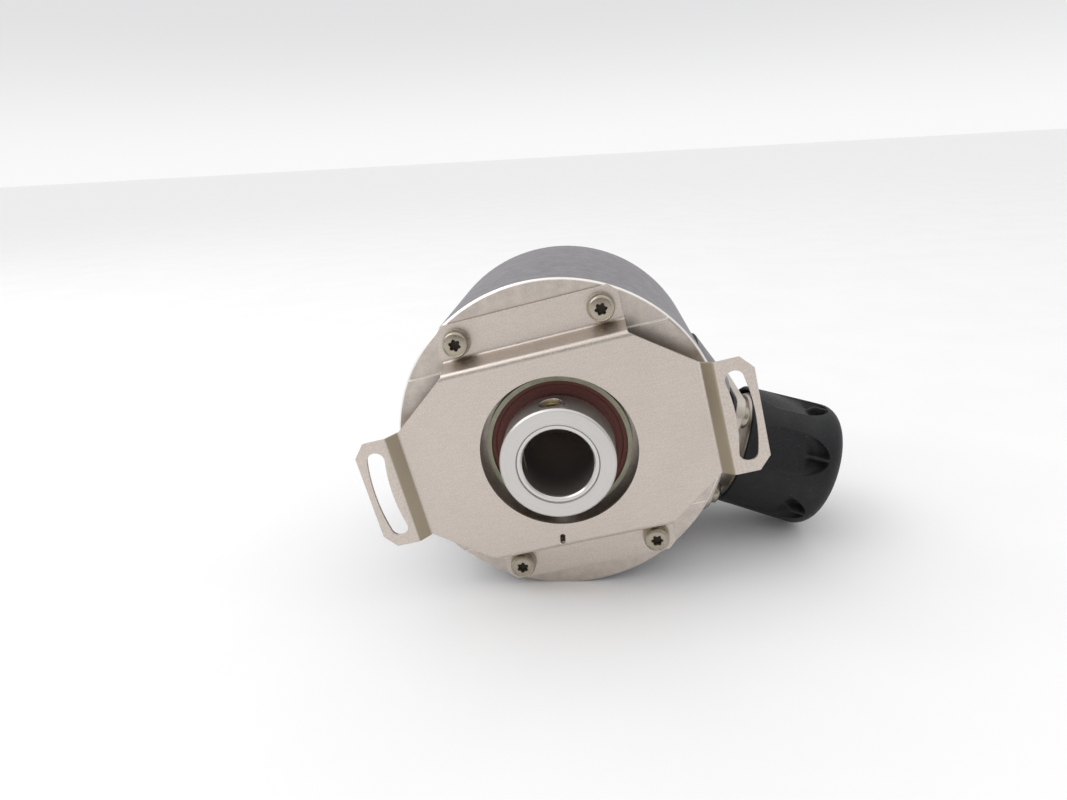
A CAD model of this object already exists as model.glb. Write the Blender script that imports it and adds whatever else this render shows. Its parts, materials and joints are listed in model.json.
"""The looks of a hollow-shaft rotary encoder, laid out as an add-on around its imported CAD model.

Metres in the scene, with sizes written in millimetres times MM. The shaft lies along Y, its front at -Y.
Each operator makes one piece or one group of like pieces from surfaces worked out with numpy, or finishes
CAD nodes, and gives everything a procedural material.
"""
import json
import math

import bmesh
import bpy
import numpy as np
from bpy.props import FloatProperty, FloatVectorProperty, IntProperty, PointerProperty
from mathutils import Matrix, Vector


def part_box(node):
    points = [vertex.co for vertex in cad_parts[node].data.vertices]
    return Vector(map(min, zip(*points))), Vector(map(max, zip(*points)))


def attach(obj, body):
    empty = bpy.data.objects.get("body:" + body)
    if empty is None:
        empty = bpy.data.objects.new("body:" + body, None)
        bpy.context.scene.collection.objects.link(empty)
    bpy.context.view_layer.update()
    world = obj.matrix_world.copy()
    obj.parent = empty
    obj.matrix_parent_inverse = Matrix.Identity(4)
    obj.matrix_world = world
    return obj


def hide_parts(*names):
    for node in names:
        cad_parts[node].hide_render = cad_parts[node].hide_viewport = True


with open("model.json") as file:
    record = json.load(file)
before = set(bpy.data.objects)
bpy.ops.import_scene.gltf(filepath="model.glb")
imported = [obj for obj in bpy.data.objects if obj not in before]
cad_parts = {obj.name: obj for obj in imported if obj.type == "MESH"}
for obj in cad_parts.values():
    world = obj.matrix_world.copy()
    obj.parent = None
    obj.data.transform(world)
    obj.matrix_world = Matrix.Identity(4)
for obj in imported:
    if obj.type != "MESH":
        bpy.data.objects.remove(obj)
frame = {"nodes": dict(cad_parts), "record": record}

bl_info = {
    "name": "Rotary Encoder Looks",
    "version": (1, 0, 0),
    "blender": (4, 5, 0),
    "location": "View3D > Sidebar > Encoder",
    "description": "Builds the visible pieces and the finishes of a hollow-shaft rotary encoder",
    "category": "Object",
}

MM = 0.001
TAU = 2 * math.pi
NODES = frame["nodes"]
BODY = {node: body for body, nodes in frame["record"]["behaviour"]["bodies"].items() for node in nodes}
SLOT = {part["node"]: part["material_slot"] for part in frame["record"]["subparts"]}
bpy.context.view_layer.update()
FINISHES = {}

# ---- Sizes of the fasteners, the seal and the cap's flutes ----
SCREW_SHANK = 1.25 * MM  # radius of every M2.5 screw
CHEESE_HEAD = 2.25 * MM  # radius of the coupling's and the housing's screw heads
WASHER_HOLE = 1.45 * MM
WASHER_RADIUS = 2.4 * MM
CONNECTOR_HEAD = 2.2 * MM
CONNECTOR_HEAD_HEIGHT = 1.7 * MM
CONNECTOR_SCREW_REACH = 5.0 * MM
HOUSING_HEAD_HEIGHT = 2.5 * MM
HOUSING_SCREW_CIRCLE = 21.79 * MM
HOUSING_SCREW_ANGLES = (42.0, 162.0, 282.0)
SET_SCREW_RADIUS = 1.65 * MM
SET_SCREW_LENGTH = 2.9 * MM
SET_SCREW_ANGLES = (96.0, 186.0)
SEAL_LIP_RADIUS = 9.25 * MM
FLUTES = 6
FLUTE_CLOSING = 45.5 * MM  # where a flute's width starts to close
DROP_START = 47.5 * MM  # where the two drops start
DROP_RISE = 2.2 * MM  # length over which the drops reach their depth
FLUTE_FULL_DEPTH = 50.0 * MM
RIB_HALF_WIDTH = 0.55 * MM

# ---- The stage ----
CAMERA_PLACE = Vector((6.073, -122.269, 48.710)) * MM
CAMERA_AIM = Vector((-3.887, -5.0, 9.471)) * MM
LIGHTS_AIM = (0.0, 0.01, 0.0)
KEY_LIGHT_PLACE = (-0.55, -0.10, 0.60)
FILL_LIGHT_PLACE = (0.15, -0.65, 0.55)
DIM_DIRECTION = (0.32, -0.93, 0.18)


# ---- Values that a user would change ----
def length(name, description, millimetres):
    return FloatProperty(name=name, description=description, default=millimetres * MM, unit="LENGTH",
                         precision=5)


def turn(name, description, degrees):
    return FloatProperty(name=name, description=description, default=math.radians(degrees), unit="ROTATION")


def colour(name, description, red, green, blue):
    return FloatVectorProperty(name=name, description=description, default=(red, green, blue), subtype="COLOR",
                               min=0.0, max=1.0, size=3)


class EncoderSizes(bpy.types.PropertyGroup):
    """Sizes of the pieces that are made here; the rest come from the CAD frame."""

    edge: length("Edge rounding", "Radius that handling and blasting leave on machined edges", 0.09)
    sheet_edge: length("Sheet edge rounding", "Radius on the stamped edges of the spring sheet", 0.06)
    steps: IntProperty(name="Steps round", description="Segments of a full turn on turned pieces", default=240)
    coupling_turn: turn("Coupling angle", "Direction of the right ear above level", 12.0)
    screw_circle: length("Screw circle", "Radius of the coupling screws' circle", 25.2)
    screw_spread: turn("Screw spread", "Half the angle between the two screws of a tab", 30.0)
    star_outer: length("Driver recess", "Radius of the six-lobed recess at its lobes", 1.06)
    star_inner: length("Driver recess waist", "Radius of the six-lobed recess between lobes", 0.76)
    star_depth: length("Driver recess depth", "Depth of the six-lobed recess", 1.0)
    collar: length("Collar radius", "Outside radius of the clamping collar", 9.7)
    set_screw_y: length("Set screw place", "Place of the set screws along the shaft", -7.1)
    set_screw_depth: length("Set screw depth", "How far a set screw lies below the collar", 0.45)
    connector_drop: turn("Connector angle", "Direction of the connector below level", 18.0)
    connector_y: length("Connector place", "Distance of the connector's axis behind the flange face", 24.9)
    thread_crest: length("Thread crest", "Radius of the connector thread's crests", 11.45)
    thread_depth: length("Thread depth", "Depth of the connector thread", 0.6)
    thread_pitch: length("Thread pitch", "Rise of the connector thread in a turn", 1.0)
    thread_start: length("Thread start", "Where the thread starts, from the shaft axis", 36.6)
    thread_end: length("Thread end", "Where the thread ends, from the shaft axis", 43.6)
    nose: length("Nose radius", "Radius of the connector's nose", 9.8)
    nose_end: length("Nose end", "Where the nose ends, from the shaft axis", 52.0)
    socket: length("Socket radius", "Radius inside the connector's nose", 8.6)
    socket_floor: length("Socket floor", "Where the socket's floor is, from the shaft axis", 42.5)
    insert: length("Insert radius", "Radius of the bore that holds the insert", 8.0)
    neck: length("Neck radius", "Radius of the neck between flange and thread", 9.5)
    plate_seat: length("Connector seat", "Where the square flange starts, from the shaft axis", 31.4)
    plate_top: length("Connector flange top", "Where the square flange ends, from the shaft axis", 33.4)
    plate_side: length("Connector flange side", "Side of the square flange", 24.4)
    plate_corner: length("Connector flange corner", "Corner radius of the square flange", 3.6)
    spigot: length("Connector spigot", "Radius of the shell behind its flange", 9.3)
    spigot_end: length("Connector spigot end", "Where the shell's rear end is, from the shaft axis", 27.0)
    plate_screws: length("Connector screw pitch", "Distance between the connector's screws", 16.8)
    cap_foot: length("Cap foot", "Where the cap starts, from the shaft axis", 36.1)
    cap_foot_radius: length("Cap foot radius", "Outside radius of the cap at its foot", 12.3)
    cap_radius: length("Cap radius", "Largest outside radius of the cap", 12.8)
    cap_widest: length("Cap widest", "Where the cap's taper ends, from the shaft axis", 52.0)
    cap_end: length("Cap end", "Where the cap ends, from the shaft axis", 55.6)
    cap_corner: length("Cap corner", "Radius of the cap's outer corner", 3.2)
    cap_bore: length("Cap bore", "Inside radius of the cap over the thread", 11.7)
    cap_step: length("Cap step", "Where the cap's bore narrows, from the shaft axis", 43.85)
    cap_nose_bore: length("Cap nose bore", "Inside radius of the cap over the nose", 10.05)
    cap_floor: length("Cap floor", "Where the cap's inside ends, from the shaft axis", 53.2)
    flute_phase: turn("Flute phase", "Angle of the first grip flute about the cap's axis", 55.0)
    flute_depth: length("Flute depth", "Depth of a grip flute at its deep end", 1.5)
    drop_depth: length("Drop depth", "Further depth of the two drops at a flute's round end", 0.6)
    flute_half_width: length("Flute half width", "Half the width of a grip flute", 4.4)
    flute_start: length("Flute start", "Where a grip flute starts, from the shaft axis", 37.4)
    flute_end: length("Flute end", "Where a grip flute ends, from the shaft axis", 52.3)
    camera_lens: FloatProperty(name="Camera lens", description="Focal length on a 36 mm sensor", default=24.97)
    camera_roll: turn("Camera roll", "Roll of the camera from level", -3.208)


class EncoderColours(bpy.types.PropertyGroup):
    """Base colours of the finishes."""

    flange: colour("Flange", "Blasted and plated face of the flange", 0.58, 0.52, 0.47)
    housing: colour("Housing", "Blasted cast aluminium", 0.29, 0.275, 0.29)
    sheet: colour("Spring sheet", "Satin plated spring steel", 0.62, 0.555, 0.50)
    sheet_tarnish: colour("Sheet tarnish", "Brownish film on the bent parts of the sheet", 0.30, 0.25, 0.17)
    zinc: colour("Zinc", "Zinc-plated screws and washers", 0.43, 0.385, 0.31)
    recess: colour("Recess", "Dirt and oxide in driver recesses", 0.050, 0.038, 0.026)
    collar: colour("Collar", "Fine-turned stainless steel", 0.64, 0.62, 0.60)
    passivated: colour("Set screws", "Yellow-passivated zinc", 0.62, 0.48, 0.20)
    seal: colour("Seal", "Maroon rubber", 0.13, 0.038, 0.030)
    seal_case: colour("Seal case", "Phosphated steel", 0.20, 0.21, 0.13)
    cap: colour("Cap", "Moulded grip plastic", 0.0100, 0.0105, 0.0118)
    dust: colour("Dust", "Pale dust and handling marks", 0.42, 0.40, 0.37)
    rubber: colour("Black rubber", "O-ring, gasket and cap seal", 0.018, 0.018, 0.018)
    bearing: colour("Bearing steel", "Ground rings and polished balls", 0.62, 0.62, 0.63)
    brass: colour("Brass", "Standoffs and pillars", 0.62, 0.43, 0.16)
    nickel: colour("Nickel", "Plated connector shell", 0.60, 0.55, 0.49)
    gold: colour("Gold", "Contact pins", 0.85, 0.60, 0.22)
    board: colour("Board", "Solder mask", 0.02, 0.11, 0.045)
    boss: colour("Seal boss", "Oil-stained ring round the seal", 0.29, 0.28, 0.21)
    bore: colour("Bore", "Oxide inside the shaft's bore", 0.085, 0.075, 0.070)
    floor: colour("Floor", "Plain pale floor", 0.95, 0.95, 0.95)


def sizes():
    return bpy.context.scene.encoder_sizes


def colours():
    return bpy.context.scene.encoder_colours


# ---- Shader trees ----
class Wiring:
    """Short ways to add and join nodes in one shader tree."""

    def __init__(self, tree):
        self.tree = tree

    def add(self, kind, values=None, **settings):
        """A node with its settings, its input sockets set, or joined where the value is a socket."""
        node = self.tree.nodes.new("ShaderNode" + kind)
        for key, value in settings.items():
            setattr(node, key, value)
        for key, value in (values or {}).items():
            self.join(value, node.inputs[key])
        return node

    def join(self, value, socket):
        if isinstance(value, bpy.types.NodeSocket):
            self.tree.links.new(value, socket)
        else:
            socket.default_value = value

    def maths(self, operation, first, second=0.0):
        return self.add("Math", {0: first, 1: second}, operation=operation).outputs[0]

    def vector(self, operation, first, second):
        return self.add("VectorMath", {0: first, 1: second}, operation=operation).outputs[0]

    def band(self, value, low, high, start=0.0, end=1.0):
        """The value, from low to high, mapped smoothly to start and end."""
        node = self.add("MapRange", {"Value": value, "From Min": low, "From Max": high, "To Min": start,
                                     "To Max": end}, interpolation_type="SMOOTHSTEP")
        return node.outputs[0]

    def blend(self, share, first, second):
        """Two colours mixed by a share."""
        node = self.add("Mix", {0: share, 6: first, 7: second}, data_type="RGBA")
        return node.outputs[2]

    def noise(self, vector, scale, detail=2.0, rough=0.5):
        return self.add("TexNoise", {"Vector": vector, "Scale": scale, "Detail": detail,
                                     "Roughness": rough}).outputs[0]

    def group(self, tree, values):
        node = self.tree.nodes.new("ShaderNodeGroup")
        node.node_tree = tree
        for key, value in values.items():
            self.join(value, node.inputs[key])
        return node


def effect(name, inputs, outputs, build):
    """A shader node group of that name, made once; build(wiring, inputs) gives its outputs in order."""
    tree = bpy.data.node_groups.get(name)
    if tree:
        return tree
    tree = bpy.data.node_groups.new(name, "ShaderNodeTree")
    for socket, kind, default in inputs:
        made = tree.interface.new_socket(socket, in_out="INPUT", socket_type="NodeSocket" + kind)
        if default is not None:
            made.default_value = default
    for socket, kind in outputs:
        tree.interface.new_socket(socket, in_out="OUTPUT", socket_type="NodeSocket" + kind)
    entry = tree.nodes.new("NodeGroupInput")
    leave = tree.nodes.new("NodeGroupOutput")
    for result, socket in zip(build(Wiring(tree), entry.outputs), leave.inputs):
        tree.links.new(result, socket)
    return tree


def blasted(w, given):
    """Fine and coarse noise added: the fine one is the blasting, the coarse one uneven plating."""
    fine = w.noise(given["Vector"], given["Scale"], 3.0, 0.6)
    coarse = w.noise(given["Vector"], w.maths("MULTIPLY", given["Scale"], 0.11), 3.0, 0.55)
    value = w.maths("ADD", w.maths("MULTIPLY", fine, 0.6), w.maths("MULTIPLY", coarse, 0.4))
    return w.band(value, 0.34, 0.66), fine


def lathe_rings(w, given):
    """Noise of the distance from the Y axis and of the place along it: rings on faces, grooves on sides."""
    split = w.add("SeparateXYZ", {0: given["Vector"]})
    square = w.maths("ADD", w.maths("MULTIPLY", split.outputs[0], split.outputs[0]),
                     w.maths("MULTIPLY", split.outputs[2], split.outputs[2]))
    across = w.maths("DIVIDE", w.maths("SQRT", square), given["Pitch"])
    along = w.maths("DIVIDE", split.outputs[1], given["Pitch"])
    place = w.add("CombineXYZ", {0: across, 1: along, 2: 0.0}).outputs[0]
    rings = w.noise(place, 1.0, 2.0, 0.6)
    return w.band(rings, 0.3, 0.7), rings


def rolled_grain(w, given):
    """Noise stretched along the sheet's rolling direction, with a finer even grain over it."""
    turned_to = w.add("VectorRotate", {"Vector": given["Vector"], "Angle": given["Angle"]},
                      rotation_type="Y_AXIS").outputs[0]
    long_way = w.vector("MULTIPLY", turned_to, (0.12, 1.0, 1.0))
    streaks = w.noise(long_way, given["Scale"], 4.0, 0.6)
    grains = w.noise(given["Vector"], w.maths("MULTIPLY", given["Scale"], 1.7), 2.0, 0.6)
    mixed = w.maths("ADD", w.maths("MULTIPLY", streaks, 0.25), w.maths("MULTIPLY", grains, 0.75))
    return w.band(mixed, 0.34, 0.66), mixed


def smudges(w, given):
    """Large soft patches broken up by finer noise, and sparse specks from the peaks of a fine noise."""
    patches = w.noise(given["Vector"], given["Scale"], 5.0, 0.62)
    soft = w.band(patches, 0.48, 0.75)
    specks = w.noise(given["Vector"], w.maths("MULTIPLY", given["Scale"], 28.0), 1.0, 0.5)
    spots = w.band(specks, 0.70, 0.76)
    return (w.maths("MULTIPLY", soft, given["Amount"]), w.maths("MULTIPLY", spots, given["Amount"]))


def moulded_grain(w, given):
    """Cells of a spark-eroded mould: distances in a cell pattern, with a fine noise over them."""
    cells = w.add("TexVoronoi", {"Vector": given["Vector"], "Scale": given["Scale"]}).outputs["Distance"]
    fine = w.noise(given["Vector"], w.maths("MULTIPLY", given["Scale"], 2.3), 2.0, 0.6)
    height = w.maths("ADD", w.maths("MULTIPLY", cells, 0.6), w.maths("MULTIPLY", fine, 0.4))
    return w.band(height, 0.25, 0.7), height


def code_tracks(w, given):
    """Radial lines between two radii: a line where the fraction of angle times count is over a half."""
    split = w.add("SeparateXYZ", {0: given["Vector"]})
    angle = w.maths("ARCTAN2", split.outputs[2], split.outputs[0])
    lines = w.maths("FRACT", w.maths("MULTIPLY", angle, w.maths("DIVIDE", given["Lines"], TAU)))
    square = w.maths("ADD", w.maths("MULTIPLY", split.outputs[0], split.outputs[0]),
                     w.maths("MULTIPLY", split.outputs[2], split.outputs[2]))
    radius = w.maths("SQRT", square)
    ring = w.maths("MULTIPLY", w.maths("GREATER_THAN", radius, given["Inner"]),
                   w.maths("LESS_THAN", radius, given["Outer"]))
    return (w.maths("MULTIPLY", w.maths("GREATER_THAN", lines, 0.5), ring),)


def copper_tracks(w, given):
    """Right-angled tracks under the mask: edges of two brick patterns, one turned a quarter."""
    split = w.add("SeparateXYZ", {0: given["Vector"]})
    flat = w.add("CombineXYZ", {0: split.outputs[0], 1: split.outputs[2], 2: 0.0}).outputs[0]
    turned_flat = w.add("CombineXYZ", {0: split.outputs[2], 1: split.outputs[0], 2: 0.0}).outputs[0]
    sides = [w.add("TexBrick", {"Vector": place, "Scale": given["Scale"], "Mortar Size": 0.035}).outputs["Fac"]
             for place in (flat, turned_flat)]
    return (w.maths("MAXIMUM", *sides),)


VALUE_AND_HEIGHT = [("Value", "Float"), ("Height", "Float")]


def effects():
    """The shared effects, each one node group."""
    vector = ("Vector", "Vector", None)
    return {
        "blasted": effect("Blasted speckle", [vector, ("Scale", "Float", 4000.0)], VALUE_AND_HEIGHT, blasted),
        "lathe": effect("Lathe rings", [vector, ("Pitch", "Float", 0.0001)], VALUE_AND_HEIGHT, lathe_rings),
        "rolled": effect("Rolled grain", [vector, ("Scale", "Float", 3000.0), ("Angle", "Float", 0.0)],
                         VALUE_AND_HEIGHT, rolled_grain),
        "smudges": effect("Smudges and dust", [vector, ("Scale", "Float", 60.0), ("Amount", "Float", 1.0)],
                          [("Mask", "Float"), ("Specks", "Float")], smudges),
        "moulded": effect("Moulded grain", [vector, ("Scale", "Float", 3000.0)], VALUE_AND_HEIGHT,
                          moulded_grain),
        "code": effect("Code tracks", [vector, ("Lines", "Float", 512.0), ("Inner", "Float", 0.0165),
                                       ("Outer", "Float", 0.0186)], [("Mask", "Float")], code_tracks),
        "copper": effect("Copper tracks", [vector, ("Scale", "Float", 300.0)], [("Mask", "Float")],
                         copper_tracks),
    }


def darker(base, share):
    """A colour scaled towards black, with its alpha."""
    return (*(channel * share for channel in base), 1.0)


class Finish(Wiring):
    """A material being put together round one Principled shader."""

    def __init__(self, name, base, roughness, metallic=0.0, **plain):
        self.material = bpy.data.materials.new(name)
        self.material.use_nodes = True
        super().__init__(self.material.node_tree)
        self.shader = self.tree.nodes["Principled BSDF"]
        self.base = base
        self.place = self.add("TexCoord").outputs["Object"]
        self.shader.inputs["Base Color"].default_value = (*base, 1.0)
        self.shader.inputs["Roughness"].default_value = roughness
        self.shader.inputs["Metallic"].default_value = metallic
        for key, value in plain.items():
            self.shader.inputs[key.replace("_", " ").title()].default_value = value
        self.material.diffuse_color = (*base, 1.0)

    def set(self, socket, value):
        self.join(value, self.shader.inputs[socket])

    def bump(self, height, strength, distance):
        """Relief on the surface, of that depth in metres."""
        made = self.add("Bump", {"Height": height, "Strength": strength, "Distance": distance})
        self.set("Normal", made.outputs[0])

    def attribute(self, name):
        return self.add("Attribute", attribute_name=name).outputs["Fac"]

    def from_shaft(self):
        """Distance from the shaft's axis, and the place along it."""
        split = self.add("SeparateXYZ", {0: self.place})
        square = self.maths("ADD", self.maths("MULTIPLY", split.outputs[0], split.outputs[0]),
                            self.maths("MULTIPLY", split.outputs[2], split.outputs[2]))
        return self.maths("SQRT", square), split.outputs[1]

    def on_coupling(self):
        """Distances from the coupling's middle along its ears and along its tabs."""
        level = self.add("VectorRotate", {"Vector": self.place, "Angle": sizes().coupling_turn},
                         rotation_type="Y_AXIS").outputs[0]
        split = self.add("SeparateXYZ", {0: level})
        return self.maths("ABSOLUTE", split.outputs[0]), self.maths("ABSOLUTE", split.outputs[2])


def metal(name, base, roughness, grain, setting, spread=0.16, relief=0.3, depth=0.00002, smudge=0.35,
          grime=False):
    """A metal whose grain varies its colour and roughness, with smudges, and dark dirt in hollows if asked."""
    made = Finish(name, base, roughness, 1.0)
    angle = {"Angle": sizes().coupling_turn} if grain == "rolled" else {}
    key = "Pitch" if grain == "lathe" else "Scale"
    marks = made.group(effects()[grain], {"Vector": made.place, key: setting, **angle})
    film = made.group(effects()["smudges"], {"Vector": made.place, "Scale": 70.0, "Amount": smudge})
    tone = made.blend(marks.outputs[0], darker(base, 1.0 - spread), darker(base, 1.0 + spread / 2))
    tone = made.blend(made.maths("MULTIPLY", film.outputs[0], 0.5), tone, darker(base, 0.62))
    rough = made.maths("ADD", made.maths("MULTIPLY", marks.outputs[0], 0.12), roughness - 0.06)
    rough = made.maths("ADD", rough, made.maths("MULTIPLY", film.outputs[0], 0.18))
    if grime:
        dirt = made.attribute("hollow")
        tone = made.blend(dirt, tone, (*colours().recess, 1.0))
        rough = made.maths("MAXIMUM", rough, made.maths("MULTIPLY", dirt, 0.7))
        made.set("Metallic", made.maths("SUBTRACT", 1.0, made.maths("MULTIPLY", dirt, 0.8)))
    made.set("Base Color", tone)
    made.set("Roughness", rough)
    made.bump(marks.outputs[1], relief, depth)
    return made.material


def plastic(name, base, roughness, scale, relief=0.35, depth=0.00003, dust=0.5):
    """A moulded plastic or rubber with a fine grain and a little pale dust."""
    made = Finish(name, base, roughness)
    grain = made.group(effects()["moulded"], {"Vector": made.place, "Scale": scale})
    film = made.group(effects()["smudges"], {"Vector": made.place, "Scale": 90.0, "Amount": dust})
    tone = made.blend(grain.outputs[0], darker(base, 0.75), darker(base, 1.3))
    tone = made.blend(made.maths("MULTIPLY", film.outputs[0], 0.10), tone, (*colours().dust, 1.0))
    tone = made.blend(made.maths("MULTIPLY", film.outputs[1], 0.35), tone, (*colours().dust, 1.0))
    made.set("Base Color", tone)
    made.set("Roughness", made.maths("ADD", roughness - 0.08, made.maths("MULTIPLY", grain.outputs[0], 0.16)))
    made.bump(grain.outputs[1], relief, depth)
    return made.material


def glass(name, base, roughness, index):
    """A clear part with faint smudges on it."""
    made = Finish(name, base, roughness, transmission_weight=1.0)
    made.shader.inputs["IOR"].default_value = index
    film = made.group(effects()["smudges"], {"Vector": made.place, "Scale": 120.0, "Amount": 0.2})
    made.set("Roughness", made.maths("ADD", roughness, made.maths("MULTIPLY", film.outputs[0], 0.2)))
    return made


# ---- One function for each finish ----
def flange_metal():
    """Warm blasted plating on the face; the rim's side is the same cool cast metal as the housing."""
    tone = colours()
    made = Finish("flange_metal", tone.flange, 0.42, 1.0)
    marks = made.group(effects()["blasted"], {"Vector": made.place, "Scale": 5200.0})
    film = made.group(effects()["smudges"], {"Vector": made.place, "Scale": 55.0, "Amount": 0.6})
    face = made.blend(marks.outputs[0], darker(tone.flange, 0.82), darker(tone.flange, 1.12))
    face = made.blend(made.maths("MULTIPLY", film.outputs[0], 0.4), face, darker(tone.flange, 0.7))
    side = made.blend(marks.outputs[0], darker(tone.housing, 0.8), darker(tone.housing, 1.2))
    radius, depth = made.from_shaft()
    boss = made.band(radius, 12.9 * MM, 12.72 * MM)
    boss_tone = made.blend(marks.outputs[0], darker(tone.boss, 0.8), darker(tone.boss, 1.15))
    face = made.blend(boss, face, boss_tone)
    off_band = made.maths("ABSOLUTE", made.maths("SUBTRACT", made.on_coupling()[1], 17.2 * MM))
    edges = made.maths("MAXIMUM", made.band(off_band, 0.14 * MM, 0.05 * MM),
                       made.band(radius, 28.66 * MM, 28.76 * MM))
    face = made.blend(made.maths("MULTIPLY", edges, 0.85), face, (0.95, 0.93, 0.90, 1.0))
    rear = made.band(depth, 0.35 * MM, 0.6 * MM)
    made.set("Base Color", made.blend(rear, face, side))
    made.set("Roughness", made.maths("ADD", made.maths("MULTIPLY", rear, 0.14), 0.40))
    made.bump(marks.outputs[1], 0.3, 0.00002)
    return made.material


def housing_metal():
    """Cool blasted cast aluminium, mottled, with handling marks."""
    tone = colours().housing
    made = Finish("housing_metal", tone, 0.55, 1.0)
    marks = made.group(effects()["blasted"], {"Vector": made.place, "Scale": 4200.0})
    film = made.group(effects()["smudges"], {"Vector": made.place, "Scale": 45.0, "Amount": 0.8})
    base = made.blend(marks.outputs[0], darker(tone, 0.72), darker(tone, 1.25))
    base = made.blend(made.maths("MULTIPLY", film.outputs[0], 0.24), base, darker(tone, 0.66))
    base = made.blend(made.maths("MULTIPLY", film.outputs[1], 0.3), base, darker(tone, 1.5))
    made.set("Base Color", base)
    made.set("Roughness", made.maths("ADD", 0.5, made.maths("MULTIPLY", marks.outputs[0], 0.14)))
    made.bump(marks.outputs[1], 0.45, 0.00004)
    return made.material


def spring_sheet():
    """Satin plated sheet; the risers that carry its ears are tarnished brown."""
    tone = colours()
    made = Finish("spring_sheet", tone.sheet, 0.36, 1.0)
    marks = made.group(effects()["rolled"], {"Vector": made.place, "Scale": 2600.0,
                                             "Angle": sizes().coupling_turn})
    film = made.group(effects()["smudges"], {"Vector": made.place, "Scale": 60.0, "Amount": 0.5})
    base = made.blend(marks.outputs[0], darker(tone.sheet, 0.86), darker(tone.sheet, 1.08))
    base = made.blend(made.maths("MULTIPLY", film.outputs[0], 0.35), base, darker(tone.sheet, 0.74))
    along_ears, _ = made.on_coupling()
    riser = made.maths("MULTIPLY", made.band(along_ears, 25.95 * MM, 26.25 * MM),
                       made.band(along_ears, 28.1 * MM, 27.8 * MM))
    base = made.blend(made.maths("MULTIPLY", riser, 0.85), base, (*tone.sheet_tarnish, 1.0))
    made.set("Base Color", base)
    made.set("Roughness", made.maths("ADD", 0.32, made.maths("MULTIPLY", marks.outputs[0], 0.10)))
    made.bump(marks.outputs[1], 0.25, 0.000015)
    return made.material


def shaft_steel():
    """Fine-turned steel; inside the bore it carries a dull dark oxide."""
    tone = colours()
    made = Finish("shaft_steel", tone.collar, 0.25, 1.0)
    marks = made.group(effects()["lathe"], {"Vector": made.place, "Pitch": 0.10 * MM})
    radius, depth = made.from_shaft()
    bore = made.maths("MULTIPLY", made.band(radius, 6.15 * MM, 6.02 * MM),
                      made.band(depth, -10.1 * MM, -9.6 * MM))
    steel = made.blend(marks.outputs[0], darker(tone.collar, 0.88), darker(tone.collar, 1.06))
    oxide = made.blend(marks.outputs[0], darker(tone.bore, 0.6), darker(tone.bore, 1.5))
    oxide = made.blend(made.band(depth, -4.0 * MM, 14.0 * MM), oxide, darker(tone.bore, 7.0))
    made.set("Base Color", made.blend(bore, steel, oxide))
    made.set("Metallic", made.maths("SUBTRACT", 1.0, bore))
    made.set("Roughness", made.maths("ADD", 0.22, made.maths("MULTIPLY", bore, 0.3)))
    made.bump(marks.outputs[1], 0.3, 0.02 * MM)
    return made.material


def seal_rubber():
    """Maroon rubber with a dull bloom."""
    return plastic("seal_rubber", colours().seal, 0.6, 5000.0, dust=0.3)


def cap_plastic():
    """Near-black grained plastic, worn a little paler on its raised lands."""
    tone = colours()
    made = Finish("cap_plastic", tone.cap, 0.5)
    grain = made.group(effects()["moulded"], {"Vector": made.place, "Scale": 2600.0})
    film = made.group(effects()["smudges"], {"Vector": made.place, "Scale": 80.0, "Amount": 0.5})
    base = made.blend(grain.outputs[0], darker(tone.cap, 0.7), darker(tone.cap, 1.5))
    base = made.blend(made.maths("MULTIPLY", film.outputs[0], 0.06), base, (*tone.dust, 1.0))
    base = made.blend(made.maths("MULTIPLY", film.outputs[1], 0.14), base, (*tone.dust, 1.0))
    made.shader.inputs["Specular IOR Level"].default_value = 0.32
    made.set("Base Color", base)
    made.set("Roughness", made.maths("ADD", 0.44, made.maths("MULTIPLY", grain.outputs[0], 0.18)))
    made.bump(grain.outputs[1], 0.5, 0.00005)
    return made.material


def disc_glass():
    """Clear glass with a ring of fine chromium lines."""
    made = glass("disc_glass", (0.95, 0.97, 0.96), 0.03, 1.5)
    lines = made.group(effects()["code"], {"Vector": made.place})
    made.set("Base Color", made.blend(lines.outputs[0], (0.95, 0.97, 0.96, 1.0), (0.03, 0.03, 0.035, 1.0)))
    return made.material


def board_laminate():
    """Green solder mask over tracks that show through it as paler, raised lines."""
    tone = colours().board
    made = Finish("board_laminate", tone, 0.32)
    tracks = made.group(effects()["copper"], {"Vector": made.place})
    grain = made.group(effects()["blasted"], {"Vector": made.place, "Scale": 2500.0})
    base = made.blend(tracks.outputs[0], darker(tone, 0.8), darker(tone, 1.9))
    base = made.blend(made.maths("MULTIPLY", grain.outputs[0], 0.3), base, darker(tone, 0.6))
    made.set("Base Color", base)
    made.bump(tracks.outputs[0], 0.4, 0.00004)
    return made.material


def ribbon_jacket():
    """Grey flat cable, ridged across by its wires, which run along it."""
    made = Finish("ribbon_jacket", (0.32, 0.33, 0.34), 0.5)
    across = made.add("SeparateXYZ", {0: made.place}).outputs[1]
    ridge = made.maths("SINE", made.maths("MULTIPLY", across, TAU / (0.8 * MM)))
    tone = made.blend(made.band(ridge, -1.0, 1.0), (0.22, 0.23, 0.24, 1.0), (0.40, 0.41, 0.42, 1.0))
    made.set("Base Color", tone)
    made.bump(ridge, 0.6, 0.0001)
    return made.material


def finish_for(slot):
    """The material of a slot, made the first time that it is asked for."""
    if slot not in FINISHES:
        FINISHES[slot] = new_finish(slot)
    return FINISHES[slot]


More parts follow.
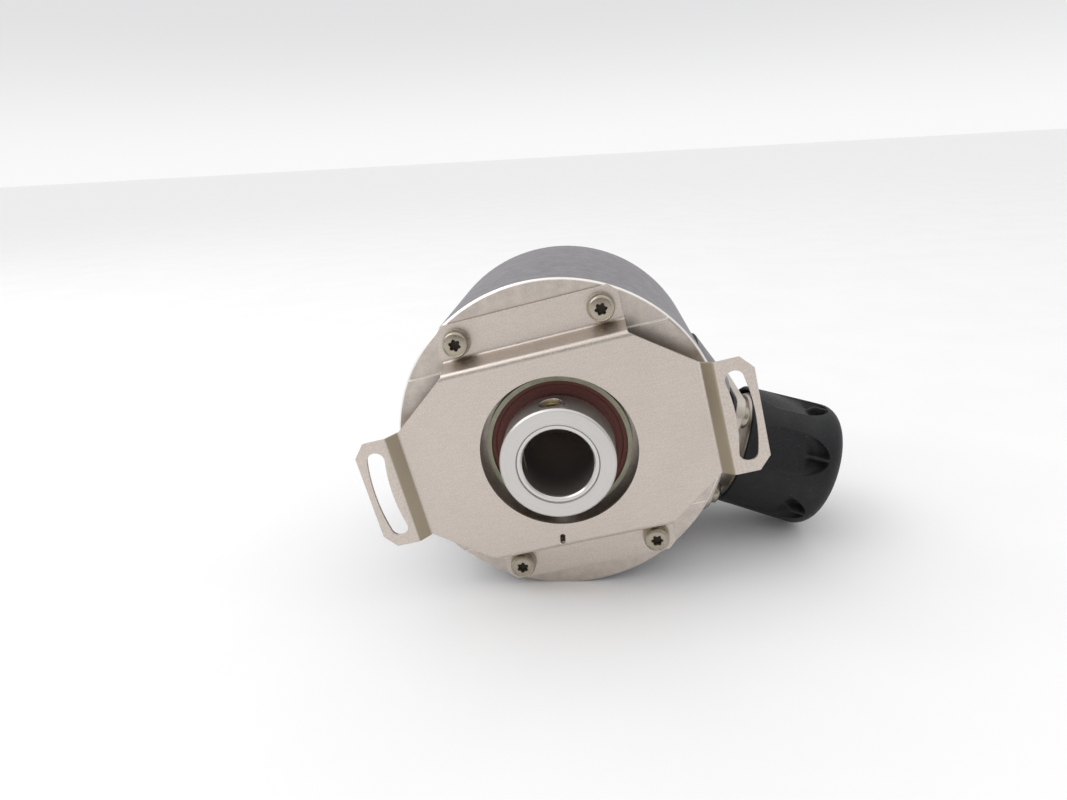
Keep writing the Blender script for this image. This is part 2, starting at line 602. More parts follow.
def new_finish(slot):
    """A slot's procedural material: one written for it alone, or a metal, plastic or glass with its values."""
    tone = colours()
    own = {"flange_metal": flange_metal, "housing_metal": housing_metal, "spring_sheet": spring_sheet,
           "seal_rubber": seal_rubber, "shaft_steel": shaft_steel,
           "cap_plastic": cap_plastic, "disc_glass": disc_glass,
           "board_laminate": board_laminate, "ribbon_jacket": ribbon_jacket}
    metals = {
        "screw_steel": (tone.zinc, 0.32, "blasted", 5000.0, {"grime": True}),
        "washer_steel": (tone.zinc, 0.36, "lathe", 0.00012, {}),
        "seal_steel": (tone.seal_case, 0.5, "lathe", 0.0001, {"spread": 0.3}),
        "collar_steel": (tone.collar, 0.40, "lathe", 0.00009, {"spread": 0.07, "relief": 0.12, "smudge": 0.2}),
        "passivated_steel": (tone.passivated, 0.3, "blasted", 6000.0, {"spread": 0.3, "grime": True}),
        "bearing_steel": (tone.bearing, 0.14, "lathe", 0.00006, {"spread": 0.06, "smudge": 0.1}),
        "ball_steel": (tone.bearing, 0.05, "blasted", 2500.0, {"spread": 0.03, "relief": 0.03, "smudge": 0.1}),
        "cage_sheet": (tone.brass, 0.38, "blasted", 4000.0, {}),
        "spacer_metal": (tone.nickel, 0.3, "lathe", 0.00011, {}),
        "blued_spring": ((0.10, 0.12, 0.17), 0.3, "rolled", 3000.0, {"spread": 0.3}),
        "silicon": ((0.12, 0.12, 0.16), 0.12, "blasted", 1500.0, {"spread": 0.5, "relief": 0.02}),
        "pillar_brass": (tone.brass, 0.3, "lathe", 0.00012, {}),
        "capacitor_can": ((0.66, 0.66, 0.67), 0.28, "blasted", 3000.0, {}),
        "plated_brass": (tone.nickel, 0.42, "blasted", 4500.0, {"smudge": 0.5}),
        "contact_gold": (tone.gold, 0.2, "blasted", 4000.0, {"spread": 0.08}),
    }
    plastics = {
        "black_rubber": (tone.rubber, 0.62, 4000.0), "optic_plastic": ((0.03, 0.03, 0.032), 0.5, 3000.0),
        "chip_plastic": ((0.02, 0.02, 0.021), 0.55, 5000.0),
        "header_plastic": ((0.035, 0.033, 0.03), 0.45, 3500.0),
        "insert_plastic": ((0.05, 0.05, 0.052), 0.4, 3500.0),
    }
    clears = {"lens_glass": ((0.98, 0.98, 0.97), 0.02, 1.52), "reticle_glass": ((0.95, 0.97, 0.97), 0.03, 1.5),
              "led_epoxy": ((0.75, 0.80, 0.95), 0.08, 1.54)}
    if slot in own:
        return own[slot]()
    if slot in metals:
        base, roughness, grain, setting, more = metals[slot]
        return metal(slot, base, roughness, grain, setting, **more)
    if slot in plastics:
        return plastic(slot, *plastics[slot])
    if slot in clears:
        return glass(slot, *clears[slot]).material
    raise ValueError("no finish is written for the slot " + slot)


# ---- Surfaces from arrays ----
def grid_faces(rows, columns, wrap_rows, wrap_columns):
    """Quads of a grid of points numbered row by row; a wrapped side joins its last line to its first."""
    row = np.arange(rows if wrap_rows else rows - 1)
    column = np.arange(columns if wrap_columns else columns - 1)
    a, b = np.meshgrid(row, column, indexing="ij")
    after_a, after_b = (a + 1) % rows, (b + 1) % columns
    quads = [a * columns + b, after_a * columns + b, after_a * columns + after_b, a * columns + after_b]
    return np.stack(quads, -1).reshape(-1, 4)


def shell(radius, along, angles, wrap_rows=True):
    """Points of a surface round Y: x = r cos(angle), z = r sin(angle), y = along.

    Rows run along the profile.
    """
    radius, along, angles = np.broadcast_arrays(radius, along, angles[None, :])
    points = np.stack([radius * np.cos(angles), along, radius * np.sin(angles)], -1)
    return points.reshape(-1, 3), grid_faces(*radius.shape, wrap_rows, True)


def full_turn(steps):
    return np.arange(steps) * (TAU / steps)


def rounded(corners, radius, steps=4):
    """A closed outline with arcs for corners: each is tangent to both sides, cut back by the radius times the
    tangent of half the turn, and never by more than 0.45 of the shorter side."""
    corner = np.asarray(corners, float)
    back = np.roll(corner, 1, 0) - corner
    ahead = np.roll(corner, -1, 0) - corner
    back_length, ahead_length = np.linalg.norm(back, axis=1), np.linalg.norm(ahead, axis=1)
    back, ahead = back / back_length[:, None], ahead / ahead_length[:, None]
    bend = np.pi - np.arccos(np.clip((back * ahead).sum(1), -1, 1))
    bend = np.maximum(bend, 1e-4)
    cut = np.minimum(np.broadcast_to(radius, bend.shape) * np.tan(bend / 2),
                     0.45 * np.minimum(back_length, ahead_length))
    true_radius = cut / np.tan(bend / 2)
    inwards = back + ahead
    inwards = inwards / np.maximum(np.linalg.norm(inwards, axis=1), 1e-9)[:, None]
    centre = corner + inwards * (true_radius / np.cos(bend / 2))[:, None]
    start, end = corner + back * cut[:, None] - centre, corner + ahead * cut[:, None] - centre
    share = np.linspace(0, 1, steps + 1)[None, :, None]
    bend = bend[:, None, None]
    arc = (np.sin((1 - share) * bend) * start[:, None] + np.sin(share * bend) * end[:, None]) / np.sin(bend)
    return (centre[:, None] + arc).reshape(-1, 2)


def turned(corners, radius, steps):
    """A closed turned ring: (radius, y) corners with rounded edges, carried round the Y axis."""
    outline = rounded(corners, radius)
    return shell(outline[:, :1], outline[:, 1:], full_turn(steps))


def star(angles):
    """Outline of a six-lobed recess: between waist and lobes by a raised cosine of six times the angle."""
    s = sizes()
    return s.star_inner + (s.star_outer - s.star_inner) * (0.5 + 0.5 * np.cos(6 * angles)) ** 0.8


def hexagon(angles, across):
    """Outline of a hexagon by its width across flats: half of it over the cosine from the nearest flat."""
    return across / 2 / np.cos((angles + math.pi / 6) % (math.pi / 3) - math.pi / 6)


def driven_screw(head, height, shank, end, recess, depth, rounding, dome=0.0):
    """A screw on the Y axis with its head's back at 0 and its driver side at -Y.

    Rows go from the recess's floor, up its wall, over the face to the rounded rim, down the head and along
    the shank. A row's radius is the recess's outline, the rim's circle, or a share of both, so the face
    between is their blend. A domed face falls with the square of the radius. Gives points, faces, hollow.
    """
    angles = full_turn(96)
    outline = recess(angles)[None, :]
    arc = np.linspace(0, math.pi / 2, 7)[:, None]
    circle = np.ones_like(outline)
    face = np.linspace(0, 1, 5)[:, None]
    over_face = outline * 1.07 * (1 - face) + (head - rounding) * circle * face
    rim = (head - rounding + rounding * np.sin(arc)) * circle
    radius = np.vstack([outline * 0.0, outline * 0.55, outline * 0.96, outline, outline, over_face, rim,
                        head * circle, shank * circle, shank * circle, 0.0 * circle])
    front = -height
    fall = dome * (radius / head) ** 2
    along = np.vstack([(front + depth * 1.12) * circle, (front + depth * 1.05) * circle,
                       (front + depth) * circle, (front + depth * 0.9) * circle, (front + 0.07 * MM) * circle,
                       front * circle + 0 * over_face, front + rounding * (1 - np.cos(arc)) * circle,
                       -0.02 * MM * circle, 0 * circle, end * circle, end * circle])
    rows = slice(4, 12)
    along[rows] += fall[rows]
    hollow = np.zeros(radius.shape)
    hollow[:4] = 1.0
    hollow[4] = 0.6
    points, faces = shell(radius, along, angles, wrap_rows=False)
    return points, faces, hollow.ravel()


def joined(parts):
    """Several (points, faces) as one."""
    offsets = np.cumsum([0] + [len(points) for points, _ in parts[:-1]])
    return (np.vstack([points for points, _ in parts]),
            np.vstack([faces + offset for (_, faces), offset in zip(parts, offsets)]))


def to_connector(points):
    """Points built along Y put on the connector's axis: their X looks up and their Z to the rear."""
    s = sizes()
    up = np.array([math.sin(s.connector_drop), 0, math.cos(s.connector_drop)])
    out = np.array([math.cos(s.connector_drop), 0, -math.sin(s.connector_drop)])
    rear = np.array([0, 1, 0])
    return points @ np.stack([up, out, rear]) + np.array([0, s.connector_y, 0])


def spun(points, angle):
    """Points turned about their own Y axis."""
    turned_by = np.array(Matrix.Rotation(-angle, 3, "Y"))
    return points @ turned_by.T


def piece(name, nodes, points, faces, attributes=None, sharp=34.0, slot=None):
    """A mesh object from arrays, welded and facing outwards, which rides and stands for CAD nodes."""
    mesh = bpy.data.meshes.new(name)
    mesh.vertices.add(len(points))
    mesh.vertices.foreach_set("co", np.ascontiguousarray(points, np.float32).ravel())
    mesh.loops.add(faces.size)
    mesh.loops.foreach_set("vertex_index", faces.ravel().astype(np.int32))
    mesh.polygons.add(len(faces))
    mesh.polygons.foreach_set("loop_start", (np.arange(len(faces)) * faces.shape[1]).astype(np.int32))
    for key, values in (attributes or {}).items():
        mesh.attributes.new(key, "FLOAT", "POINT").data.foreach_set("value", values.astype(np.float32))
    mesh.update(calc_edges=True)
    mesh.validate()
    work = bmesh.new()
    work.from_mesh(mesh)
    bmesh.ops.remove_doubles(work, verts=work.verts, dist=1e-6)
    bmesh.ops.dissolve_degenerate(work, edges=work.edges, dist=1e-7)
    bmesh.ops.recalc_face_normals(work, faces=work.faces)
    work.to_mesh(mesh)
    work.free()
    return shown(name, nodes, mesh, sharp, slot)


def shown(name, nodes, mesh, sharp, slot=None):
    """Links a finished mesh as a piece: smooth but for edges sharper than given, in its nodes' finish."""
    slot = slot or SLOT[nodes[0]]
    mesh.shade_smooth()
    mesh.set_sharp_from_angle(angle=math.radians(sharp))
    mesh.materials.clear()
    mesh.materials.append(finish_for(slot))
    made = bpy.data.objects.new(name, mesh)
    bpy.context.scene.collection.objects.link(made)
    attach(made, BODY[nodes[0]])
    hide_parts(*nodes)
    return made


def softened_copy(name, node, width, limit=32.0):
    """A copy of a CAD node, welded, with its flat faces made whole and its edges rounded."""
    mesh = NODES[node].data.copy()
    mesh.name = name
    work = bmesh.new()
    work.from_mesh(mesh)
    bmesh.ops.remove_doubles(work, verts=work.verts, dist=2e-6)
    bmesh.ops.dissolve_limit(work, angle_limit=math.radians(0.3), use_dissolve_boundaries=False,
                             verts=work.verts, edges=work.edges)
    work.to_mesh(mesh)
    work.free()
    made = shown(name, [node], mesh, limit)
    bevel = made.modifiers.new("Edges", "BEVEL")
    bevel.width = width
    bevel.segments = 2
    bevel.limit_method = "ANGLE"
    bevel.angle_limit = math.radians(limit)
    bevel.use_clamp_overlap = False
    bevel.harden_normals = True
    return made


def finish_nodes(*nodes):
    """Gives CAD nodes that stay as they are the material of their slots."""
    for node in nodes:
        mesh = NODES[node].data
        mesh.materials.clear()
        mesh.materials.append(finish_for(SLOT[node]))


def on_circle(radius, angle):
    return np.array([radius * math.cos(angle), 0.0, radius * math.sin(angle)])


def coupling_screw_places():
    """Centres of the four screws: a spread to each side of the middle of each tab."""
    s = sizes()
    middles = (math.pi / 2, -math.pi / 2)
    angles = [middle + side * s.screw_spread + s.coupling_turn for middle in middles for side in (-1, 1)]
    return [on_circle(s.screw_circle, angle) for angle in angles]


# ---- Pieces ----
class Make(bpy.types.Operator):
    """What the operators share."""

    bl_options = {"REGISTER", "UNDO"}


class ENCODER_OT_flange(Make):
    """The front flange with its raised band, seal boss and bearing hub, and the O-ring on its spigot"""

    bl_idname = "encoder.flange"
    bl_label = "Front flange"

    def execute(self, context):
        finish_nodes("front_flange", "housing_o_ring")
        return {"FINISHED"}


class ENCODER_OT_housing(Make):
    """The cast housing cup with the connector's boss"""

    bl_idname = "encoder.housing"
    bl_label = "Housing"

    def execute(self, context):
        softened_copy("housing_shell", "housing_cap", sizes().edge)
        return {"FINISHED"}


class ENCODER_OT_coupling(Make):
    """The spring-sheet stator coupling"""

    bl_idname = "encoder.coupling"
    bl_label = "Stator coupling"

    def execute(self, context):
        softened_copy("coupling_sheet", "stator_coupling", sizes().sheet_edge)
        return {"FINISHED"}


class ENCODER_OT_coupling_screws(Make):
    """The four six-lobe screws of the coupling and their washers"""

    bl_idname = "encoder.coupling_screws"
    bl_label = "Coupling screws"

    def execute(self, context):
        s = sizes()
        low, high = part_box("coupling_screws")
        washer_low, washer_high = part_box("coupling_washers")
        points, faces, hollow = driven_screw(CHEESE_HEAD, washer_low.y - low.y, SCREW_SHANK,
                                             high.y - washer_low.y, star, s.star_depth, 0.6 * MM,
                                             dome=0.25 * MM)
        parts, seats = [], []
        for place, angle in zip(coupling_screw_places(), (0.2, 0.75, 0.45, 0.05)):
            parts.append((spun(points, angle) + place + np.array([0, washer_low.y, 0]), faces))
            ring = turned([(WASHER_HOLE, washer_low.y), (WASHER_RADIUS, washer_low.y),
                           (WASHER_RADIUS, washer_high.y), (WASHER_HOLE, washer_high.y)], 0.12 * MM, 96)
            seats.append((ring[0] + place, ring[1]))
        piece("coupling_screw_set", ["coupling_screws"], *joined(parts),
              {"hollow": np.tile(hollow, len(parts))})
        piece("coupling_washer_set", ["coupling_washers"], *joined(seats))
        return {"FINISHED"}


class ENCODER_OT_seal(Make):
    """The maroon shaft seal in its steel case"""

    bl_idname = "encoder.seal"
    bl_label = "Shaft seal"

    def execute(self, context):
        low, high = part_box("shaft_seal_lip")
        outer, front = high.x, low.y
        lip = SEAL_LIP_RADIUS
        corners = [(outer, front), (outer - 0.7 * MM, front), (outer - 0.95 * MM, front + 0.28 * MM),
                   (lip + 1.0 * MM, front + 0.28 * MM), (lip + 0.55 * MM, front + 0.05 * MM), (lip, front),
                   (lip, front + 0.25 * MM), (lip + 0.3 * MM, front + 0.6 * MM), (lip, front + 1.75 * MM),
                   (lip, front + 2.1 * MM), (lip + 0.5 * MM, front + 2.4 * MM),
                   (outer - 1.5 * MM, front + 1.7 * MM), (outer - 1.2 * MM, high.y),
                   (outer - 0.6 * MM, high.y), (outer - 0.6 * MM, front + 0.8 * MM), (outer, front + 0.8 * MM)]
        piece("seal_lip_ring", ["shaft_seal_lip"], *turned(corners, 0.08 * MM, sizes().steps))
        finish_nodes("shaft_seal_case")
        return {"FINISHED"}


class ENCODER_OT_shaft(Make):
    """The blind hollow shaft, its clamping collar and the two set screws

    A set screw is a screw's surface laid on its radius: its own x along the shaft, its z across, its -y out.
    """

    bl_idname = "encoder.shaft"
    bl_label = "Shaft and collar"

    def execute(self, context):
        s = sizes()
        softened_copy("collar_ring", "clamping_collar", s.edge)
        finish_nodes("hollow_shaft")

        def socket(angles):
            return hexagon(angles, 1.5 * MM)

        points, faces, hollow = driven_screw(SET_SCREW_RADIUS, SET_SCREW_LENGTH, 1.2 * MM, 0.2 * MM, socket,
                                             1.5 * MM, 0.5 * MM)
        outer = s.collar - s.set_screw_depth
        parts = []
        for degrees in SET_SCREW_ANGLES:
            out = on_circle(1.0, math.radians(degrees))
            across = np.array([-out[2], 0.0, out[0]])
            place = out * (outer - SET_SCREW_LENGTH) + np.array([0, s.set_screw_y, 0])
            parts.append((points @ np.stack([np.array([0.0, 1.0, 0.0]), -out, across]) + place, faces))
        piece("set_screw_pair", ["set_screws"], *joined(parts), {"hollow": np.tile(hollow, 2)})
        return {"FINISHED"}


class ENCODER_OT_connector(Make):
    """The connector's plated shell with its thread, its insert, pins and gasket"""

    bl_idname = "encoder.connector"
    bl_label = "Connector"

    def execute(self, context):
        s = sizes()
        piece("connector_body", ["connector_shell"], *connector_body())
        finish_nodes("connector_gasket", "connector_insert", "contact_pins")
        points, faces, hollow = driven_screw(CONNECTOR_HEAD, CONNECTOR_HEAD_HEIGHT, SCREW_SHANK,
                                             CONNECTOR_SCREW_REACH, star, 0.9 * MM, 0.7 * MM, dome=0.35 * MM)
        half = s.plate_screws / 2
        mirrored = points * np.array([1, -1, -1])
        parts = []
        corners = ((-half, -half, 0.1), (-half, half, 0.5), (half, -half, 0.9), (half, half, 0.3))
        for up, rear, angle in corners:
            at = np.array([up, s.plate_top, rear])
            parts.append((to_connector(spun(mirrored, angle) + at), faces))
        piece("connector_screw_set", ["connector_screws"], *joined(parts),
              {"hollow": np.tile(hollow, len(parts))})
        return {"FINISHED"}


def connector_body():
    """The square flange and the turned shell as two closed surfaces.

    The flange is a rounded square carried along the axis: its radius at an angle is where a ray meets the
    side or the corner's arc. The thread's radius rises from root to crest with the fraction of a turn
    that the station is past the helix, and fades in and out over one pitch at each end.
    """
    s = sizes()
    steps = s.steps
    angles = full_turn(steps)
    half, corner = s.plate_side / 2, s.plate_corner
    c, d = np.abs(np.cos(angles)), np.abs(np.sin(angles))
    flat = half / np.maximum(c, d)
    inset = half - corner
    along_ray = inset * (c + d)
    reach = along_ray + np.sqrt(np.maximum(along_ray ** 2 - 2 * inset ** 2 + corner ** 2, 0))
    in_corner = np.minimum(c, d) * flat > inset
    square = np.where(in_corner, reach, flat)
    edge = 0.25 * MM
    rows = [(None, s.plate_seat, 0.0), (square, s.plate_seat, edge), (square, s.plate_seat + edge, 0.0),
            (square, s.plate_top - edge, 0.0), (square, s.plate_top, edge), (None, s.plate_top, 0.0)]
    radius = np.stack([np.full(steps, s.insert) if rim is None else rim - inwards for rim, _, inwards in rows])
    along = np.array([[y] for _, y, _ in rows])
    plate = shell(radius, along, angles)

    root = s.thread_crest - s.thread_depth
    stations = np.linspace(s.thread_start, s.thread_end, 120)[:, None]
    phase = ((stations - s.thread_start) / s.thread_pitch - angles[None, :] / TAU) % 1.0
    crest = np.clip(1.75 - np.abs(phase - 0.5) * 5.0, 0, 1)
    fade = np.clip(np.minimum(stations - s.thread_start, s.thread_end - stations) / s.thread_pitch, 0, 1)
    thread = root + s.thread_depth * crest * fade
    chamfer = 0.4 * MM
    before = [(s.insert, s.spigot_end), (s.spigot - chamfer, s.spigot_end), (s.spigot, s.spigot_end + chamfer),
              (s.spigot, s.plate_seat), (s.neck, s.plate_top), (s.neck, s.thread_start - chamfer),
              (root - chamfer, s.thread_start - chamfer)]
    after = [(root - chamfer, s.thread_end + chamfer), (s.nose + 0.1 * MM, s.thread_end + chamfer),
             (s.nose, s.thread_end + 2 * chamfer),
             (s.nose, s.nose_end - chamfer), (s.nose - chamfer, s.nose_end),
             (s.socket + chamfer / 2, s.nose_end), (s.socket, s.nose_end - chamfer / 2),
             (s.socket, s.socket_floor), (s.insert, s.socket_floor)]
    before_radius, before_along = np.array(before)[:, :1], np.array(before)[:, 1:]
    after_radius, after_along = np.array(after)[:, :1], np.array(after)[:, 1:]
    wide = np.ones((1, steps))
    radius = np.vstack([before_radius * wide, thread, after_radius * wide])
    along = np.vstack([before_along * wide, stations * wide, after_along * wide])
    body = shell(radius, along, angles)
    points, faces = joined([plate, body])
    return to_connector(points), faces


class ENCODER_OT_cap(Make):
    """The push-on cap with six grip flutes, and the rubber seal inside it"""

    bl_idname = "encoder.cap"
    bl_label = "Connector cap"

    def execute(self, context):
        piece("cap_moulding", ["dust_cap"], *cap_surface(), sharp=40.0)
        finish_nodes("dust_cap_seal")
        return {"FINISHED"}


def cap_outline():
    """The cap's outline as (radius, station) rows: outside from foot to pole, then inside back to the foot."""
    s = sizes()
    lip = 0.25 * MM
    quarter = np.linspace(0, math.pi / 2, 12)[1:]
    side = np.linspace(s.cap_foot + lip, s.cap_end - s.cap_corner, 110)
    side_radius = np.minimum(s.cap_foot_radius + (side - s.cap_foot) * (s.cap_radius - s.cap_foot_radius)
                             / (s.cap_widest - s.cap_foot), s.cap_radius)
    corner = np.stack([s.cap_radius - s.cap_corner + s.cap_corner * np.cos(quarter),
                       s.cap_end - s.cap_corner + s.cap_corner * np.sin(quarter)], 1)
    top = np.array([[0.5 * s.cap_radius, s.cap_end], [1e-6, s.cap_end]])
    inside = np.array([[1e-6, s.cap_floor], [s.cap_nose_bore, s.cap_floor], [s.cap_nose_bore, s.cap_step],
                       [s.cap_bore, s.cap_step], [s.cap_bore, s.cap_foot + lip / 2],
                       [s.cap_bore + lip / 2, s.cap_foot], [s.cap_foot_radius - lip, s.cap_foot]])
    outer = np.vstack([np.stack([side_radius, side], 1), corner])
    return outer, top, inside


def cap_surface():
    """The cap's outside as a function of the angle and the station, closed by its top and inside.

    Round the cap, each sixth of a turn is a flute and a land. Grid lines in a flute spread with its width, so
    its edges are lines of the grid. Its width is constant, then closes along an ellipse to its round end. Its
    depth grows with the station and falls with the square of the place across it, and a rib stands in
    the middle of its deep end.
    """
    s = sizes()
    outer, top, inside = cap_outline()
    in_flute, in_land = 60, 20
    station = outer[:, 1:]
    near_end = np.clip((station - FLUTE_CLOSING) / (s.flute_end - FLUTE_CLOSING), 0, 0.9995)
    near_start = np.clip((station - s.flute_start) / (4.0 * MM), 0.0005, 1)
    half_width = s.flute_half_width * np.sqrt(1 - near_end ** 2) * near_start ** 0.35
    half_angle = half_width / s.cap_radius
    across = np.linspace(-1, 1, in_flute + 1)[None, :]
    flute_angles = half_angle * across
    share = np.linspace(0, 1, in_land + 1)[None, 1:-1]
    sector = TAU / FLUTES
    land_angles = half_angle + (sector - 2 * half_angle) * share
    angles = np.hstack([flute_angles, land_angles])
    grow = np.clip((station - s.flute_start) / (FLUTE_FULL_DEPTH - s.flute_start), 0, 1) ** 1.3
    scoop = np.clip(1 - across ** 2, 0, 1) ** 0.5
    deep = np.clip((station - DROP_START) / DROP_RISE, 0, 1)
    deep = deep * deep * (3 - 2 * deep)
    rib = deep * np.exp(-((flute_angles * s.cap_radius) / RIB_HALF_WIDTH) ** 4)
    closing = np.clip((1 - near_end ** 2) * 7.0, 0, 1)
    depth = (s.flute_depth * grow + s.drop_depth * deep) * scoop * closing * (1 - 0.95 * rib)
    depth = np.hstack([depth, np.zeros_like(land_angles)])
    wall = np.clip(outer[:, :1] - s.cap_bore - 0.25 * MM, 0, None)
    over_thread = station < s.cap_step + 0.3 * MM
    depth = np.where(over_thread, np.minimum(depth, wall), depth)
    all_angles = np.hstack([angles + sector * i for i in range(FLUTES)]) + s.flute_phase
    all_depths = np.tile(depth, FLUTES)
    radius = outer[:, :1] - all_depths
    rest = np.vstack([top, inside])
    last = all_angles[-1:, :]
    radius = np.vstack([radius, rest[:, :1] * np.ones_like(last)])
    along = np.vstack([station * np.ones_like(all_angles), rest[:, 1:] * np.ones_like(last)])
    all_angles = np.vstack([all_angles, np.repeat(last, len(rest), 0)])
    points = np.stack([radius * np.cos(all_angles), along, radius * np.sin(all_angles)], -1)
    return to_connector(points.reshape(-1, 3)), grid_faces(*radius.shape, True, True)


class ENCODER_OT_housing_screws(Make):
    """The three socket screws that hold the housing, sunk in its rear face"""

    bl_idname = "encoder.housing_screws"
    bl_label = "Housing screws"

    def execute(self, context):
        low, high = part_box("housing_screws")
        head_back = high.y - HOUSING_HEAD_HEIGHT

        def socket(angles):
            return hexagon(angles, 2.0 * MM)

        points, faces, hollow = driven_screw(CHEESE_HEAD, HOUSING_HEAD_HEIGHT, SCREW_SHANK,
                                             head_back - low.y, socket, 1.3 * MM, 0.3 * MM)
        mirrored = points * np.array([1, -1, 1])
        parts = []
        for angle, spin in zip(HOUSING_SCREW_ANGLES, (0.1, 0.6, 0.9)):
            place = on_circle(HOUSING_SCREW_CIRCLE, math.radians(angle)) + np.array([0, head_back, 0])
            parts.append((spun(mirrored, spin) + place, faces))
        piece("housing_screw_set", ["housing_screws"], *joined(parts), {"hollow": np.tile(hollow, 3)})
        return {"FINISHED"}


class ENCODER_OT_bearings(Make):
    """The two ball bearings, their spacers, preload washer and retaining rings"""

    bl_idname = "encoder.bearings"
    bl_label = "Bearings"

    def execute(self, context):
        for end in ("front", "rear"):
            finish_nodes(*(end + "_bearing_" + part for part in ("inner_ring", "outer_ring", "balls", "cage")))
        finish_nodes("inner_spacer", "outer_spacer", "preload_washer", "hub_retaining_ring", "shaft_circlip")
        return {"FINISHED"}


class ENCODER_OT_disc(Make):
    """The code disc between its hub and clamp, with its screw"""

    bl_idname = "encoder.disc"
    bl_label = "Code disc"

    def execute(self, context):
        finish_nodes("disc_hub", "code_disc", "disc_clamp", "disc_screw")
        return {"FINISHED"}


class ENCODER_OT_optics(Make):
    """The light source, its lens, the scanning reticle and the photodiodes"""

    bl_idname = "encoder.optics"
    bl_label = "Optics"

    def execute(self, context):
        finish_nodes("led_holder", "led", "led_lens", "scanning_reticle", "reticle_holder", "photodiode_array")
        return {"FINISHED"}


class ENCODER_OT_board(Make):
    """The circuit board with its chips, header, standoffs and ribbon cable"""

    bl_idname = "encoder.board"
    bl_label = "Circuit board"

    def execute(self, context):
        finish_nodes("main_board", "board_standoffs", "board_pillars", "signal_processor", "line_driver",
                     "board_capacitor", "board_header", "ribbon_cable")
        return {"FINISHED"}


# ---- Stage ----
def area_light(name, place, aim, side, power):
    """A square light at a place, turned to its aim."""
    data = bpy.data.lights.new(name, "AREA")
    data.size = side
    data.energy = power
    made = bpy.data.objects.new(name, data)
    made.location = place
    made.rotation_euler = (Vector(aim) - Vector(place)).to_track_quat("-Z", "Y").to_euler()
    bpy.context.scene.collection.objects.link(made)
    return made


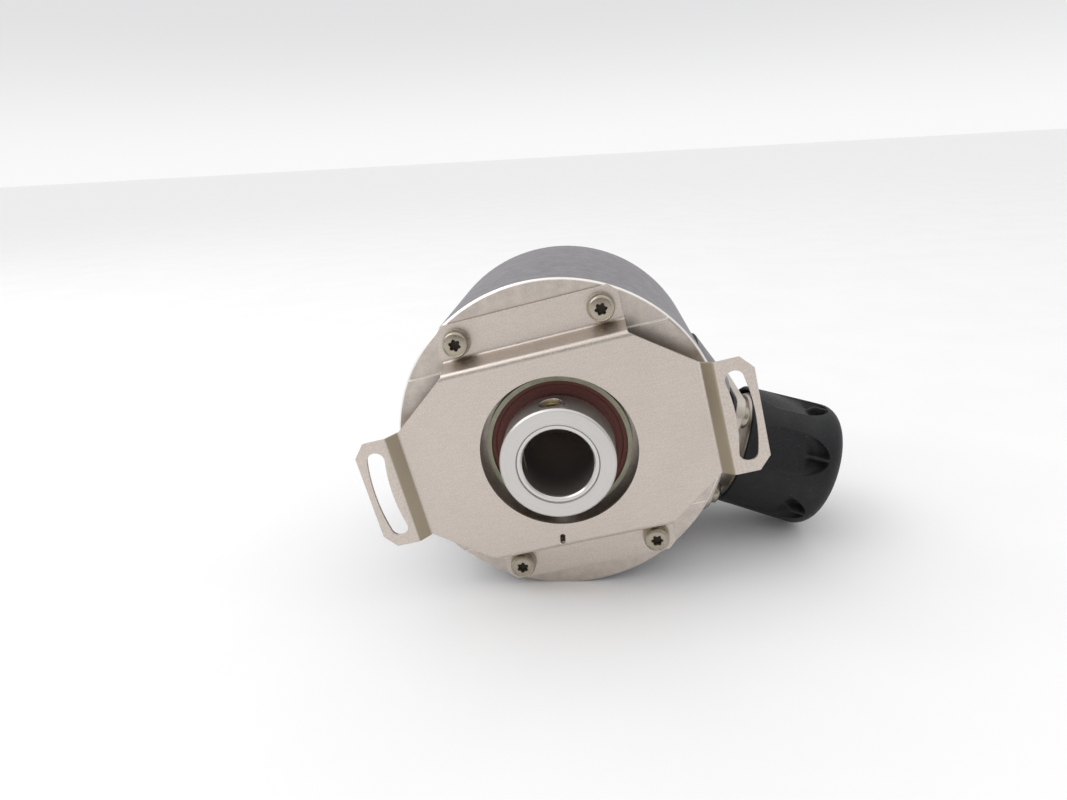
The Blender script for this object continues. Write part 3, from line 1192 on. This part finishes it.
class ENCODER_OT_stage(Make):
    """The floor, the lights and the camera"""

    bl_idname = "encoder.stage"
    bl_label = "Stage"

    def execute(self, context):
        s = sizes()
        self.floor(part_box("housing_cap")[0].z)
        self.world(context.scene)
        area_light("key_light", KEY_LIGHT_PLACE, LIGHTS_AIM, 0.6, 1.6)
        area_light("fill_light", FILL_LIGHT_PLACE, LIGHTS_AIM, 0.5, 0.5)
        data = bpy.data.cameras.new("camera")
        data.lens = s.camera_lens
        data.sensor_width = 36.0
        data.clip_start = 0.005
        camera = bpy.data.objects.new("camera", data)
        look = (CAMERA_AIM - CAMERA_PLACE).to_track_quat("-Z", "Y").to_matrix().to_4x4()
        camera.matrix_world = Matrix.Translation(CAMERA_PLACE) @ look @ Matrix.Rotation(s.camera_roll, 4, "Z")
        context.scene.collection.objects.link(camera)
        context.scene.camera = camera
        context.scene.view_settings.view_transform = "Standard"
        return {"FINISHED"}

    def floor(self, level):
        """A flat floor that runs far past the view: a grid of points at one height."""
        reach = np.linspace(-12.0, 12.0, 9)
        across, away = np.meshgrid(reach, reach)
        points = np.stack([across, away, np.full_like(across, level)], -1).reshape(-1, 3)
        mesh = bpy.data.meshes.new("floor")
        mesh.from_pydata(points.tolist(), [], grid_faces(9, 9, False, False)[:, ::-1].tolist())
        made = Finish("floor_paper", colours().floor, 0.8)
        grain = made.noise(made.place, 30.0, 5.0)
        made.set("Base Color", made.blend(made.band(grain, 0.3, 0.7), darker(colours().floor, 0.99),
                                          darker(colours().floor, 1.01)))
        mesh.materials.append(made.material)
        sheet = bpy.data.objects.new("floor", mesh)
        bpy.context.scene.collection.objects.link(sheet)

    def world(self, scene):
        """Soft white surroundings: bright at the horizon and overhead, dimmer between and in front."""
        scene.world = bpy.data.worlds.new("studio")
        scene.world.use_nodes = True
        w = Wiring(scene.world.node_tree)
        split = w.add("SeparateXYZ", {0: w.add("TexCoord").outputs["Generated"]})
        low = w.blend(w.band(split.outputs[2], 0.0, 0.18), (1.0, 1.0, 1.0, 1.0), (0.80, 0.80, 0.81, 1.0))
        tone = w.blend(w.band(split.outputs[2], 0.25, 0.8), low, (1.12, 1.12, 1.13, 1.0))
        heading = w.add("TexCoord").outputs["Generated"]
        facing = w.add("VectorMath", {0: heading, 1: DIM_DIRECTION}, operation="DOT_PRODUCT").outputs["Value"]
        background = w.tree.nodes["Background"]
        w.join(w.blend(w.band(facing, 0.50, 0.95), tone, (0.30, 0.29, 0.28, 1.0)), background.inputs[0])
        background.inputs[1].default_value = 0.95


PIECES = (ENCODER_OT_flange, ENCODER_OT_housing, ENCODER_OT_coupling, ENCODER_OT_coupling_screws,
          ENCODER_OT_seal, ENCODER_OT_shaft, ENCODER_OT_connector, ENCODER_OT_cap, ENCODER_OT_housing_screws,
          ENCODER_OT_bearings, ENCODER_OT_disc, ENCODER_OT_optics, ENCODER_OT_board, ENCODER_OT_stage)


class ENCODER_PT_panel(bpy.types.Panel):
    """The sidebar panel: an operator for each piece, then the sizes and the colours"""

    bl_idname = "ENCODER_PT_panel"
    bl_label = "Rotary Encoder"
    bl_space_type = "VIEW_3D"
    bl_region_type = "UI"
    bl_category = "Encoder"

    def draw(self, context):
        for operator in PIECES:
            self.layout.operator(operator.bl_idname)
        for group in (context.scene.encoder_sizes, context.scene.encoder_colours):
            box = self.layout.box()
            for name in group.bl_rna.properties.keys():
                if name not in ("rna_type", "name"):
                    box.prop(group, name)


CLASSES = (EncoderSizes, EncoderColours, *PIECES, ENCODER_PT_panel)


def register():
    for made in CLASSES:
        bpy.utils.register_class(made)
    bpy.types.Scene.encoder_sizes = PointerProperty(type=EncoderSizes)
    bpy.types.Scene.encoder_colours = PointerProperty(type=EncoderColours)


def unregister():
    del bpy.types.Scene.encoder_colours
    del bpy.types.Scene.encoder_sizes
    for made in reversed(CLASSES):
        bpy.utils.unregister_class(made)


def main():
    """Registers the classes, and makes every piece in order."""
    register()
    for operator in PIECES:
        group, name = operator.bl_idname.split(".")
        getattr(getattr(bpy.ops, group), name)()


if __name__ == "__main__":
    main()
